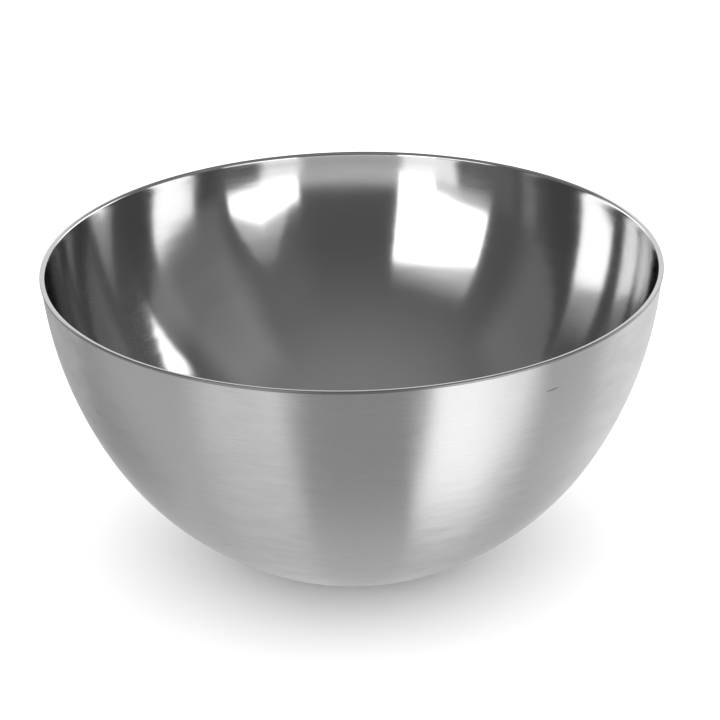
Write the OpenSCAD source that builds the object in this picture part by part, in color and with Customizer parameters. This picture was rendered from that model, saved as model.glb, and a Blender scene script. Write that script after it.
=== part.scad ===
// Double-skinned metal lather bowl for wet shaving.
// Origin: centre of the flat face that the bowl rests on. +Z points out of the mouth.
// Each skin is a deep-drawn sheet. Its wall is two arcs that meet smoothly, followed by
// a bend and a flat floor. The two skins meet only at the rim, with air between them.

/* [Overall] */
// Diameter across the lip
rim_d = 120; // [96:1:150]
// Height from the resting face to the top of the lip
bowl_h = 58; // [46:1:72]

/* [Outer shell] */
// Sheet thickness of the outer shell
shell_t = 0.35; // [0.3:0.05:0.6]
// Diameter of the flat face that the bowl rests on
base_d = 43; // [34:1:52]
// Outside radius of the bend between the base and the wall
base_bend_r = 8; // [5:0.5:10]
// Lean of the shell's wall from vertical, at the rim
shell_rim_lean = 4.5; // [3:0.5:6]
// Lean of the shell's wall from vertical, where it meets the base bend
shell_foot_lean = 61.5; // [58:0.5:65]

/* [Inner bowl] */
// Sheet thickness of the inner bowl and its lip
inner_t = 0.45; // [0.35:0.05:0.7]
// How far the lip stands out past the shell's wall
lip_overhang = 0.25; // [0.25:0.05:0.6]
// Radius of the lip's two outer edges
lip_edge_r = 0.1; // [0.05:0.05:0.15]
// Height of the air gap between the two floors
floor_gap = 4; // [3:0.5:6]
// Diameter of the flat floor, on the hidden side of the inner bowl
floor_d = 38; // [30:1:44]
// Radius of the bend between the floor and the wall, on the same side
floor_bend_r = 9; // [6:0.5:11]
// Lean of the inner bowl's wall from vertical, at the rim
inner_rim_lean = 8.5; // [7:0.5:10]
// Lean of the inner bowl's wall from vertical, where it meets the floor bend
inner_foot_lean = 62; // [58:0.5:66]

/* [Rim seam] */
// Radius of the weld bead in the corner under the lip
bead_r = 0.15; // [0.1:0.05:0.2]

/* [Hidden] */
$fn = 180;

// Angle between the points along a wall, and along the lip's small round edges
wall_step = 1.5;
edge_step = 15;

// Level where the shell ends and the lip sits on it
seat_z = bowl_h - inner_t;
shell_rim = [rim_d / 2 - lip_overhang, seat_z];
base_bend = [base_d / 2, base_bend_r];
shell_wall = wall(shell_rim, base_bend, base_bend_r, shell_rim_lean, shell_foot_lean);

// The inner bowl's sheet turns outwards over the inner edge of the shell's top
inner_rim = [shell_rim.x - shell_t, seat_z];
floor_z = shell_t + floor_gap;
floor_bend = [floor_d / 2, floor_z + floor_bend_r];
inner_wall = wall(inner_rim, floor_bend, floor_bend_r, inner_rim_lean, inner_foot_lean);

// Direction square to a wall, outwards, for a lean measured from vertical
function out(lean) = [cos(lean), -sin(lean)];

// Direction down along the same wall
function down(lean) = [-sin(lean), -cos(lean)];

// Points along an arc, between two leans
function arc(centre, r, from, to, step) =
    let (count = ceil(abs(to - from) / step))
    [for (i = [0 : count]) centre + r * out(from + (to - from) * i / count)];

// Points in the opposite order
function reverse(points) = [for (i = [len(points) - 1 : -1 : 0]) points[i]];

// A pressed wall from its rim to its floor, as three arcs of sheet that share a tangent
// where they meet. Each is [centre, radius of its outer face, lean at its lower end]
function wall(rim, bend, bend_r, rim_lean, foot_lean) =
    let (
        foot = bend + bend_r * out(foot_lean),
        span = foot - rim,
        tangents = down(rim_lean) + down(foot_lean),
        turn = 2 * (1 - cos(foot_lean - rim_lean)),
        along = span * tangents,
        handle = (sqrt(along ^ 2 + turn * (span * span)) - along) / turn,
        chord = span - handle * tangents,
        joint_lean = atan2(-chord.x, -chord.y),
        upper_r = handle / tan((joint_lean - rim_lean) / 2),
        lower_r = handle / tan((foot_lean - joint_lean) / 2)
    )
    [
        [rim - upper_r * out(rim_lean), upper_r, joint_lean],
        [foot - lower_r * out(foot_lean), lower_r, foot_lean],
        [bend, bend_r, 90]
    ];

// Points down one face of a wall, at a depth into the sheet, from a lean at the top
function face(wall, depth, top_lean) =
    [
        for (i = [0 : 2])
            let (
                from = i == 0 ? top_lean : wall[i - 1][2],
                points = arc(wall[i][0], wall[i][1] - depth, from, wall[i][2], wall_step)
            )
            for (j = [i == 0 ? 0 : 1 : len(points) - 1]) points[j]
    ];

// Lean at which a face at a depth into the sheet crosses the level of the wall's rim
function level_lean(wall, depth, rim_lean) =
    asin(wall[0][1] * sin(rim_lean) / (wall[0][1] - depth));

module inner_bowl() {
    edge_x = rim_d / 2 - lip_edge_r;
    lip = concat(
        arc([edge_x, seat_z + lip_edge_r], lip_edge_r, 90, 0, edge_step),
        arc([edge_x, bowl_h - lip_edge_r], lip_edge_r, 0, -90, edge_step),
        arc(inner_rim, inner_t, -90, inner_rim_lean - 180, edge_step)
    );
    color("gainsboro")
        rotate_extrude()
            polygon(concat(
                [[0, floor_z]],
                reverse(face(inner_wall, 0, inner_rim_lean)),
                lip,
                face(inner_wall, inner_t, inner_rim_lean),
                [[0, floor_z + inner_t]]
            ));
}

module outer_shell()
    color("silver")
        rotate_extrude()
            polygon(concat(
                [[0, 0]],
                reverse(face(shell_wall, 0, shell_rim_lean)),
                face(shell_wall, shell_t, level_lean(shell_wall, shell_t, shell_rim_lean)),
                [[0, shell_t]]
            ));

module rim_seam()
    color("dimgray")
        rotate_extrude()
            polygon(concat(
                [shell_rim],
                arc(shell_rim, bead_r, 0, 90 + shell_rim_lean, edge_step)
            ));

inner_bowl();
outer_shell();
rim_seam();
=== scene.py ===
"""Looks of the double-skinned metal shaving bowl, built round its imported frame."""
import math

import bmesh
import bpy
from mathutils import Matrix, Vector, noise


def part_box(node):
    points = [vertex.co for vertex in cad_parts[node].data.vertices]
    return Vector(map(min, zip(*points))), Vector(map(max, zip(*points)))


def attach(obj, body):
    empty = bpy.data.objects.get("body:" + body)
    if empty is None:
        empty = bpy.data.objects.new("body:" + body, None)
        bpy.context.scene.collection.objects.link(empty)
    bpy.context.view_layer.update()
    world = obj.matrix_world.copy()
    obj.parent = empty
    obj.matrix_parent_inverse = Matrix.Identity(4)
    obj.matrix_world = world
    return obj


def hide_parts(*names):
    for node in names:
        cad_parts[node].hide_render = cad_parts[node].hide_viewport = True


MM = 0.001
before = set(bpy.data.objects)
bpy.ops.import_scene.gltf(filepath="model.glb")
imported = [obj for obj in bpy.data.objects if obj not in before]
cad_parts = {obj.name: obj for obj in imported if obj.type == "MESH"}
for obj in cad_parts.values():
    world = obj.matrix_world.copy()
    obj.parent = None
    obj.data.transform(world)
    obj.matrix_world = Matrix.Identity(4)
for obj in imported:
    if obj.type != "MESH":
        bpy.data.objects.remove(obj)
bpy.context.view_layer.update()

# ---------------------------------------------------------------- places from the frame

mouth_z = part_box("inner_bowl")[1].z
rim_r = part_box("inner_bowl")[1].x
mouth_centre = Vector((0, 0, mouth_z))


def direction(azimuth, elevation):
    """Unit vector for angles in degrees. Azimuth 0 is the camera's side, and it grows to the right."""
    az = math.radians(azimuth)
    el = math.radians(elevation)
    return Vector((math.sin(az) * math.cos(el), -math.cos(az) * math.cos(el), math.sin(el)))


# ---------------------------------------------------------------- camera

CAMERA_DISTANCE = 0.7
CAMERA_ELEVATION = 22.555
CAMERA_AIM_DOWN = 1.544
CAMERA_AIM_RIGHT = 0.113
CAMERA_ROLL = -1.131
CAMERA_LENS_MM = 181.8
SENSOR_MM = 36


def add_camera():
    """Camera in front of the bowl and above it, aimed a little below the mouth's centre."""
    place = mouth_centre + CAMERA_DISTANCE * direction(0, CAMERA_ELEVATION)
    look = -direction(-CAMERA_AIM_RIGHT, CAMERA_ELEVATION + CAMERA_AIM_DOWN)
    level = look.cross(Vector((0, 0, 1))).normalized()
    roll = Matrix.Rotation(-math.radians(CAMERA_ROLL), 3, look)
    right = roll @ level
    up = right.cross(look)
    data = bpy.data.cameras.new("camera")
    data.lens = CAMERA_LENS_MM
    data.sensor_width = SENSOR_MM
    data.clip_start = 0.01
    camera = bpy.data.objects.new("camera", data)
    turn = Matrix((right, up, -look)).transposed().to_4x4()
    camera.matrix_world = Matrix.Translation(place) @ turn
    bpy.context.scene.collection.objects.link(camera)
    bpy.context.scene.camera = camera


# ---------------------------------------------------------------- turned pieces

# Steps round the bowl
SEGMENTS = 480
# Shrinks each outline a little towards the axis, so that its curve stays inside the CAD box
FIT = 0.9996
# An outline that turns by more than this keeps a sharp edge
CORNER_DEG = 30
# Widest gaps between points along the outline, and near the rim
POINT_GAP = 0.6 * MM
RIM_GAP = 0.08 * MM
RIM_DEPTH = 1 * MM
# Closer than this counts as the same place
SAME = 1e-3 * MM


def outline(node):
    """Points (r, z) along a round CAD node's half section, read from its mesh at y = 0, x > 0.

    The list starts and ends on the axis, or comes back to its first point."""
    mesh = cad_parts[node].data
    place = {}
    links = {}
    for edge in mesh.edges:
        ends = [mesh.vertices[i].co for i in edge.vertices]
        if any(abs(co.y) > SAME or co.x < -SAME for co in ends):
            continue
        keys = [(round(co.x / SAME), round(co.z / SAME)) for co in ends]
        if keys[0] == keys[1]:
            continue
        for key, other, co in zip(keys, reversed(keys), ends):
            place[key] = Vector((co.x, co.z))
            links.setdefault(key, []).append(other)
    start = min(links, key=lambda key: (len(set(links[key])), key))
    walk = [start]
    while True:
        onward = [key for key in links[walk[-1]] if key not in walk[-2:]]
        if not onward or (onward[0] == start and len(walk) > 2):
            break
        walk.append(onward[0])
    points = [place[key] for key in walk]
    if len(set(links[start])) > 1:
        return points + [points[0]]
    return [Vector((0, points[0].y))] + points + [Vector((0, points[-1].y))]


def bend_deg(a, b, c):
    """Angle by which a path turns at b."""
    return math.degrees((b - a).angle(c - b))


def refine(points):
    """Rounds an outline between its sharp corners, with points close together, and closest at the rim.

    Gives (point, is it a corner) pairs."""
    last = len(points) - 1
    closed = (points[0] - points[last]).length < SAME
    corner = [True] * (last + 1)
    for i in range(1, last):
        corner[i] = bend_deg(points[i - 1], points[i], points[i + 1]) > CORNER_DEG
    if not closed:
        corner[0] = corner[last] = False
    fine = []
    for i in range(last):
        a, b = points[i], points[i + 1]
        before = a - (b - a) if i == 0 or corner[i] else points[i - 1]
        after = b + (b - a) if i + 1 == last or corner[i + 1] else points[i + 2]
        gap = RIM_GAP if min(a.y, b.y) > mouth_z - RIM_DEPTH else POINT_GAP
        count = math.ceil((b - a).length / gap)
        fine.append((a, corner[i]))
        for k in range(1, count):
            fine.append((round_step(before, a, b, after, k / count), False))
    fine.append((points[last], corner[last]))
    return fine


def round_step(p0, p1, p2, p3, share):
    """Point on the centripetal Catmull-Rom curve from p1 to p2."""
    t0 = 0
    t1 = t0 + (p1 - p0).length ** 0.5
    t2 = t1 + (p2 - p1).length ** 0.5
    t3 = t2 + (p3 - p2).length ** 0.5
    t = t1 + share * (t2 - t1)
    a1 = p0.lerp(p1, (t - t0) / (t1 - t0))
    a2 = p1.lerp(p2, (t - t1) / (t2 - t1))
    a3 = p2.lerp(p3, (t - t2) / (t3 - t2))
    b1 = a1.lerp(a2, (t - t0) / (t2 - t0))
    b2 = a2.lerp(a3, (t - t1) / (t3 - t1))
    return b1.lerp(b2, (t - t1) / (t2 - t1))


def turn_piece(name, node, material, shape=None):
    """Turns a CAD node's outline into a fine round mesh that stands for the node.

    shape(angle, point, normal) may move a point of the half section a little."""
    fine = []
    for point, sharp in refine(outline(node)):
        height = min(max(point.y, 0), mouth_z)
        fine.append((Vector((point.x * FIT, height)), sharp))
    closed = (fine[0][0] - fine[-1][0]).length < SAME
    if closed:
        fine.pop()
    count = len(fine)
    normals = []
    for i in range(count):
        ahead = fine[(i + 1) % count if closed else min(i + 1, count - 1)][0]
        behind = fine[i - 1 if closed else max(i - 1, 0)][0]
        along = (ahead - behind).normalized()
        normals.append(Vector((along.y, -along.x)))
    mesh = bmesh.new()
    rings = []
    for i, (point, _) in enumerate(fine):
        if point.x < SAME:
            rings.append([mesh.verts.new((0, 0, point.y))])
            continue
        ring = []
        for k in range(SEGMENTS):
            angle = 2 * math.pi * k / SEGMENTS
            at = shape(angle, point, normals[i]) if shape else point
            ring.append(mesh.verts.new((at.x * math.cos(angle), at.x * math.sin(angle), at.y)))
        rings.append(ring)
    for i in range(count if closed else count - 1):
        a, b = rings[i], rings[(i + 1) % count]
        for k in range(SEGMENTS):
            n = (k + 1) % SEGMENTS
            loop = [a[k % len(a)], b[k % len(b)], b[n % len(b)], a[n % len(a)]]
            face = mesh.faces.new(list(dict.fromkeys(loop)))
            face.smooth = True
    for i, (_, sharp) in enumerate(fine):
        if sharp and len(rings[i]) > 1:
            for k in range(SEGMENTS):
                edge = mesh.edges.get((rings[i][k], rings[i][(k + 1) % SEGMENTS]))
                edge.smooth = False
    bmesh.ops.recalc_face_normals(mesh, faces=mesh.faces)
    data = bpy.data.meshes.new(name)
    mesh.to_mesh(data)
    mesh.free()
    piece = bpy.data.objects.new(name, data)
    bpy.context.scene.collection.objects.link(piece)
    data.materials.append(material)
    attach(piece, "root")
    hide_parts(node)


# ---------------------------------------------------------------- materials


class Nodes:
    """Short way to add and join shader nodes."""

    def __init__(self, tree):
        self.tree = tree
        tree.nodes.clear()

    def add(self, kind, inputs=None, **settings):
        """Adds a node, and joins or sets each of its inputs."""
        node = self.tree.nodes.new(kind)
        for key, value in settings.items():
            setattr(node, key, value)
        for key, value in (inputs or {}).items():
            if isinstance(value, bpy.types.NodeSocket):
                self.tree.links.new(value, node.inputs[key])
            else:
                node.inputs[key].default_value = value
        return node

    def math(self, operation, a, b=0.0):
        """Result of a math operation on one or two inputs."""
        node = self.add("ShaderNodeMath", {0: a, 1: b}, operation=operation)
        return node.outputs[0]

    def ramp(self, value, low, high, to_low=0.0, to_high=1.0):
        """Smooth step of value from low..high to to_low..to_high."""
        node = self.add(
            "ShaderNodeMapRange",
            {"Value": value, "From Min": low, "From Max": high, "To Min": to_low, "To Max": to_high},
            interpolation_type="SMOOTHSTEP",
        )
        return node.outputs["Result"]


def place_at(nodes):
    """Place on the object, in metres."""
    return nodes.add("ShaderNodeTexCoord").outputs["Object"]


def around(nodes, per_turn, per_metre):
    """Vector that changes slowly round the bowl and fast down its wall, for polishing lines."""
    split = nodes.add("ShaderNodeSeparateXYZ", {0: place_at(nodes)})
    flat = nodes.add("ShaderNodeCombineXYZ", {0: split.outputs[0], 1: split.outputs[1]}).outputs[0]
    radius = nodes.add("ShaderNodeVectorMath", {0: flat}, operation="LENGTH").outputs["Value"]
    unit = nodes.add("ShaderNodeVectorMath", {0: flat}, operation="NORMALIZE").outputs[0]
    turned = nodes.add("ShaderNodeSeparateXYZ", {0: unit})
    down = nodes.math("MULTIPLY", nodes.math("ADD", radius, split.outputs[2]), per_metre)
    x = nodes.math("MULTIPLY", turned.outputs[0], per_turn)
    y = nodes.math("MULTIPLY", turned.outputs[1], per_turn)
    return nodes.add("ShaderNodeCombineXYZ", {0: x, 1: y, 2: down}).outputs[0]


def radius_at(nodes):
    """Distance from the bowl's axis."""
    split = nodes.add("ShaderNodeSeparateXYZ", {0: place_at(nodes)})
    flat = nodes.add("ShaderNodeCombineXYZ", {0: split.outputs[0], 1: split.outputs[1]}).outputs[0]
    return nodes.add("ShaderNodeVectorMath", {0: flat}, operation="LENGTH").outputs["Value"]


def noise_at(nodes, vector, detail=2.0, roughness=0.5, scale=1.0):
    """Smooth noise at a place, about 0.5 on average."""
    node = nodes.add(
        "ShaderNodeTexNoise",
        {"Vector": vector, "Scale": scale, "Detail": detail, "Roughness": roughness},
    )
    return node.outputs["Fac"]


def new_material(name):
    """Empty material and its nodes."""
    material = bpy.data.materials.new(name)
    material.use_nodes = True
    return material, Nodes(material.node_tree)


def bump_at(nodes, height, strength, distance):
    """Shading normal of a surface with this height pattern."""
    inputs = {"Strength": strength, "Distance": distance, "Height": height}
    return nodes.add("ShaderNodeBump", inputs).outputs[0]


def round_tangent(nodes):
    """Tangent that runs round the bowl's axis."""
    return nodes.add("ShaderNodeTangent", direction_type="RADIAL", axis="Z").outputs[0]


# Turns the tangent so that highlights stretch up and down the wall
UP_THE_WALL = 0.25


def finish_metal(nodes, colour, roughness, normal, anisotropic=0.0, tangent=None):
    """Metal shader with these inputs, joined to the material's output."""
    inputs = {
        "Base Color": colour,
        "Metallic": 1.0,
        "Roughness": roughness,
        "Normal": normal,
        "Anisotropic": anisotropic,
    }
    if tangent is not None:
        inputs["Tangent"] = tangent
        inputs["Anisotropic Rotation"] = UP_THE_WALL
    shader = nodes.add("ShaderNodeBsdfPrincipled", inputs)
    nodes.add("ShaderNodeOutputMaterial", {"Surface": shader.outputs[0]})


def mix_colour(nodes, value, first, second):
    """Colour that goes from the first to the second as value goes from 0 to 1."""
    return nodes.add("ShaderNodeMix", {0: value, 6: first, 7: second}, data_type="RGBA").outputs[2]


def grey(level):
    """Opaque grey."""
    return (level, level, level, 1)


def brushed_steel():
    """Satin steel with fine lines round the bowl, which draw each reflection out up and down."""
    material, nodes = new_material("brushed_steel")
    fine = noise_at(nodes, around(nodes, 10, 6000), detail=3, roughness=0.6)
    smudges = noise_at(nodes, around(nodes, 7, 350), detail=3)
    lines = nodes.math("ADD", nodes.math("MULTIPLY", fine, 0.6), nodes.math("MULTIPLY", smudges, 0.4))
    clean = mix_colour(nodes, nodes.ramp(lines, 0.3, 0.7), grey(0.51), grey(0.61))
    marks = nodes.ramp(noise_at(nodes, around(nodes, 9, 900), detail=0), 0.85, 0.90)
    colour = mix_colour(nodes, marks, clean, grey(0.32))
    roughness = nodes.ramp(lines, 0.3, 0.7, 0.27, 0.36)
    bump = bump_at(nodes, lines, 0.25, 0.01 * MM)
    finish_metal(nodes, colour, roughness, bump, 1.0, round_tangent(nodes))
    return material


# The lip's rougher cut edge, coloured dark grey as painted shade for the dark line at the lip's outside,
# starts this far in from its outside, and is whole from the second
EDGE_IN = 0.14 * MM
EDGE_FULL = 0.07 * MM
EDGE_SHADE_GREY = 0.27
EDGE_ROUGHNESS = 0.35


def polished_steel():
    """Mirror-polished steel with faint buffing lines, a soft haze and a rougher edge round the lip, whose
    dark grey is painted shade.
    """
    material, nodes = new_material("polished_steel")
    buffing = noise_at(nodes, around(nodes, 10, 3000), detail=3)
    haze = noise_at(nodes, place_at(nodes), detail=3, scale=60)
    polished = mix_colour(nodes, haze, grey(0.60), grey(0.66))
    # The lip's outer edge: rougher, and coloured dark grey as painted shade
    dull_shaded_edge = nodes.ramp(radius_at(nodes), rim_r - EDGE_IN, rim_r - EDGE_FULL)
    colour = mix_colour(nodes, dull_shaded_edge, polished, grey(EDGE_SHADE_GREY))
    smooth = nodes.ramp(nodes.math("ADD", buffing, haze), 0.6, 1.4, 0.085, 0.125)
    roughness = nodes.math("MAXIMUM", smooth, nodes.math("MULTIPLY", dull_shaded_edge, EDGE_ROUGHNESS))
    bump = bump_at(nodes, buffing, 0.05, 0.005 * MM)
    finish_metal(nodes, colour, roughness, bump, 0.6, round_tangent(nodes))
    return material


def seam_steel():
    """Dull weld bead, coloured very dark grey as painted shade for the shadow line under the lip."""
    material, nodes = new_material("seam_steel")
    grain = noise_at(nodes, around(nodes, 150, 3000), detail=3)
    # Painted shade: the bead's very dark grey stands for the shadow under the lip
    colour = mix_colour(nodes, grain, grey(0.10), grey(0.22))
    roughness = nodes.ramp(grain, 0.3, 0.7, 0.4, 0.6)
    bump = bump_at(nodes, grain, 0.3, 0.02 * MM)
    finish_metal(nodes, colour, roughness, bump)
    return material


# ---------------------------------------------------------------- stage and light

PANEL_DISTANCE = 1.6
GLOW_DISTANCE = 1.7
FLOOR_R = 6.0
BASE_CARD_R = 1.5
DISC_POINTS = 96


def disc(radius, level):
    """Points round a flat disc on the bowl's axis."""
    points = []
    for k in range(DISC_POINTS):
        angle = 2 * math.pi * k / DISC_POINTS
        points.append(Vector((radius * math.cos(angle), radius * math.sin(angle), level)))
    return points


def stage_mesh(name, points, material):
    """Flat face with these corners, which isn't part of the bowl."""
    data = bpy.data.meshes.new(name)
    data.from_pydata([tuple(p) for p in points], [], [list(range(len(points)))])
    data.materials.append(material)
    thing = bpy.data.objects.new(name, data)
    bpy.context.scene.collection.objects.link(thing)
    return thing


def add_floor():
    """Pale floor. The metal reflects the cards below it instead, so it is hidden from reflections."""
    material, nodes = new_material("pale_floor")
    grain = noise_at(nodes, place_at(nodes), scale=40)
    colour = mix_colour(nodes, grain, grey(0.86), grey(0.88))
    shader = nodes.add("ShaderNodeBsdfPrincipled", {"Base Color": colour, "Roughness": 0.9})
    shader.inputs["Specular IOR Level"].default_value = 0.1
    nodes.add("ShaderNodeOutputMaterial", {"Surface": shader.outputs[0]})
    floor = stage_mesh("floor", disc(FLOOR_R, 0), material)
    floor.visible_glossy = False


def add_glow(name, points, strength, fade_from=None):
    """Glowing sheet that only the metal sees.

    With fade_from, it is see-through and fades out between that height and its top."""
    material, nodes = new_material(name)
    glow = strength
    if fade_from is not None:
        height = nodes.add("ShaderNodeSeparateXYZ", {0: place_at(nodes)})
        top = max(point.z for point in points)
        glow = nodes.ramp(height.outputs[2], fade_from, top, strength, 0)
    surface = nodes.add("ShaderNodeEmission", {"Strength": glow}).outputs[0]
    if fade_from is not None:
        clear = nodes.add("ShaderNodeBsdfTransparent").outputs[0]
        surface = nodes.add("ShaderNodeAddShader", {0: surface, 1: clear}).outputs[0]
    nodes.add("ShaderNodeOutputMaterial", {"Surface": surface})
    sheet = stage_mesh(name, points, material)
    sheet.visible_camera = False
    sheet.visible_diffuse = False
    sheet.visible_shadow = False


def add_panel(name, corners, strength, distance=PANEL_DISTANCE, fade_el=None):
    """Panel whose corners stand at these azimuths and elevations round the mouth."""
    points = [mouth_centre + distance * direction(az, el) for az, el in corners]
    fade_from = None
    if fade_el is not None:
        fade_from = mouth_z + distance * math.sin(math.radians(fade_el))
    add_glow(name, points, strength, fade_from)


# A card starts at this many times the wall's radius, and reaches this many metres past the wall
WALL_R = 58 * MM
CARD_START = 1.1
CARD_REACH = 1.2


def add_card(name, az_low, az_high, strength, level):
    """Card on the floor that the outside wall reflects between these azimuths."""
    near = []
    far = []
    for azimuth in (az_low, az_high):
        at_wall = WALL_R * direction(azimuth / 2, 0)
        near.append(at_wall * CARD_START + Vector((0, 0, level)))
        far.append(at_wall + CARD_REACH * direction(azimuth, 0) + Vector((0, 0, level)))
    add_glow(name, [near[0], far[0], far[1], near[1]], strength)


def add_world():
    """Studio room seen in the metal: pale dome, white sheets behind, dim front. White to the camera."""
    world = bpy.data.worlds.new("studio")
    bpy.context.scene.world = world
    world.use_nodes = True
    nodes = Nodes(world.node_tree)
    split = nodes.add("ShaderNodeSeparateXYZ", {0: nodes.add("ShaderNodeTexCoord").outputs["Generated"]})
    x, y, z = split.outputs
    from_front = nodes.math("DEGREES", nodes.math("ARCTAN2", x, nodes.math("MULTIPLY", y, -1.0)))
    from_back = nodes.math("DEGREES", nodes.math("ARCTAN2", x, y))
    elevation = nodes.math("DEGREES", nodes.math("ARCSINE", z))

    def patch(azimuth, az_low, az_high, el_low, el_high, strength, soft_az, soft_el):
        """Soft-edged patch of light or, with a negative strength, of shade."""
        steps = [
            nodes.ramp(azimuth, az_low - soft_az, az_low + soft_az),
            nodes.ramp(azimuth, az_high - soft_az, az_high + soft_az, 1, 0),
            nodes.ramp(elevation, el_low - soft_el, el_low + soft_el),
            nodes.ramp(elevation, el_high - soft_el, el_high + soft_el, 1, 0),
        ]
        value = strength
        for step in steps:
            value = nodes.math("MULTIPLY", step, value)
        return value

    parts = [
        # Dome, paler towards the top
        nodes.ramp(elevation, 20, 75, 0.14, 0.35),
        # Dim wall at the left, and faint light round the left softbox
        patch(from_front, -115, -75, -30, 40, 0.10, 8, 6),
        patch(from_front, -57, -19, -30, 33, 0.16, 3, 5),
        # Dim wall at the right, in three parts
        patch(from_front, 50, 88, 24, 54, 0.16, 8, 8),
        patch(from_front, 52, 100, -30, 24, 0.12, 4, 5),
        patch(from_front, 82, 100, -30, 28, 0.10, 5, 4),
        # Bright strip low in front, and faint light above the right softbox
        patch(from_front, -22, 22, -30, 5, 0.9, 3, 3),
        patch(from_front, 20, 60, 18, 40, 0.05, 10, 8),
        # White sheets behind, brighter towards both sides
        patch(from_back, -68, 81, -30, 31, 1.0, 2, 2),
        patch(from_back, 40, 81, -30, 32, 1.6, 2, 2),
        patch(from_back, -66, -36, -30, 29, 1.4, 4, 2),
    ]
    total = parts[0]
    for part in parts[1:]:
        total = nodes.math("ADD", total, part)
    light = nodes.add("ShaderNodeBackground", {"Strength": total})
    seen = nodes.add("ShaderNodeBackground", {"Strength": 1.0})
    camera_ray = nodes.add("ShaderNodeLightPath").outputs["Is Camera Ray"]
    mix = nodes.add("ShaderNodeMixShader", {0: camera_ray, 1: light.outputs[0], 2: seen.outputs[0]})
    nodes.add("ShaderNodeOutputWorld", {"Surface": mix.outputs[0]})


SUN_WIDTH_DEG = 160
SUN_STRENGTH = 4.6


def add_soft_sun():
    """Very wide light from above for the floor alone, so the bowl's shadow is faint and soft."""
    data = bpy.data.lights.new("soft_light", "SUN")
    data.angle = math.radians(SUN_WIDTH_DEG)
    data.energy = SUN_STRENGTH
    light = bpy.data.objects.new("soft_light", data)
    light.visible_glossy = False
    bpy.context.scene.collection.objects.link(light)


# ---------------------------------------------------------------- the bowl


# Height of the waves inside, and how long each is round and down the wall
WAVE = 0.03 * MM
WAVE_LENGTH = 16 * MM
RIPPLE = 0.006 * MM
RIPPLE_ROUND = 14 * MM
RIPPLE_DOWN = 3 * MM
# The waves grow to their full height over this depth below the lip
WAVE_START = 3 * MM
# The lip's top is crowned: highest at the middle of its land, and lower towards both edges
LIP_DEPTH = 1.2 * MM
LAND_MID = rim_r - 0.35 * MM
LAND_HALF = 0.25 * MM
CROWN = 0.04 * MM
# A normal that points up by more than this is on the floor, where its sideways part can be either way
NEARLY_UP = 0.9


def pressed(angle, point, normal):
    """Slight waves that polishing leaves on the inside, and a slightly crowned lip."""
    depth = mouth_z - point.y
    if depth < LIP_DEPTH:
        across = max(-1, (point.x - LAND_MID) / LAND_HALF)
        return point - Vector((0, CROWN * across * across * (1 - depth / LIP_DEPTH)))
    if normal.x > 0 and normal.y < NEARLY_UP:
        return point
    share = min(1, (depth - LIP_DEPTH) / WAVE_START)
    around_wall = Vector((math.cos(angle), math.sin(angle), 0)) * point.x
    along = around_wall + Vector((0, 0, point.y))
    broad = noise.noise(along / WAVE_LENGTH)
    down = (point.x + point.y) / RIPPLE_DOWN
    fine = noise.noise(Vector((along.x / RIPPLE_ROUND, along.y / RIPPLE_ROUND, down)))
    return point - normal * share * (WAVE * broad + RIPPLE * fine)


# Height of the unevenness outside, its length, and where it fades out
ROLLED = 0.012 * MM
ROLLED_LENGTH = 11 * MM
ROLLED_TOP = mouth_z - 2 * MM
ROLLED_FOOT = 1 * MM
ROLLED_FADE = 4 * MM


def uneven(angle, point, normal):
    """Faint unevenness that drawing the sheet leaves on the outside, and none near the rim or the base."""
    facing_out = normal.x > 0 or normal.y < 0
    share = min(1, (ROLLED_TOP - point.y) / ROLLED_FADE, (point.y - ROLLED_FOOT) / ROLLED_FADE)
    if not facing_out or share < 0:
        return point
    around_wall = Vector((math.cos(angle), math.sin(angle), 0)) * point.x
    bumps = noise.noise((around_wall + Vector((0, 0, point.y))) / ROLLED_LENGTH)
    return point + normal * share * ROLLED * (bumps - 1)


add_camera()
turn_piece("polished_inner_bowl", "inner_bowl", polished_steel(), pressed)
turn_piece("brushed_outer_shell", "outer_shell", brushed_steel(), uneven)
turn_piece("weld_bead", "rim_seam", seam_steel())
add_floor()
add_panel("left_softbox", [(-57, 8), (-33.5, 6), (-33, 1), (-19, 1), (-19, 28), (-57, 23.5)], 2.7)
add_panel("left_glow", [(-57.5, 2), (-19, 2), (-19, 36), (-57, 33)], 0.4, GLOW_DISTANCE, fade_el=25)
add_panel("right_softbox", [(20, 1), (49, 1), (49, 8.5), (37, 14), (20, 9)], 2.7)
add_panel("right_glow", [(20, 1), (50, 1), (48, 12), (38, 30), (25, 12)], 0.6, GLOW_DISTANCE, fade_el=10)

# Each card lies a little above the one before it, and all are under the floor
add_glow("card_base", disc(BASE_CARD_R, -3 * MM), 0.76)
add_card("card_front", -27, 30, 0.46, -2 * MM)
add_card("card_right", 30, 72, 1.95, -1.5 * MM)
add_card("card_left", -65, -27, 0.92, -1 * MM)
add_card("card_back_left", -178, -112, 0.44, -0.8 * MM)
add_card("card_back_right", 112, 178, 0.95, -0.6 * MM)

add_world()
add_soft_sun()
bpy.context.scene.view_settings.view_transform = "Standard"
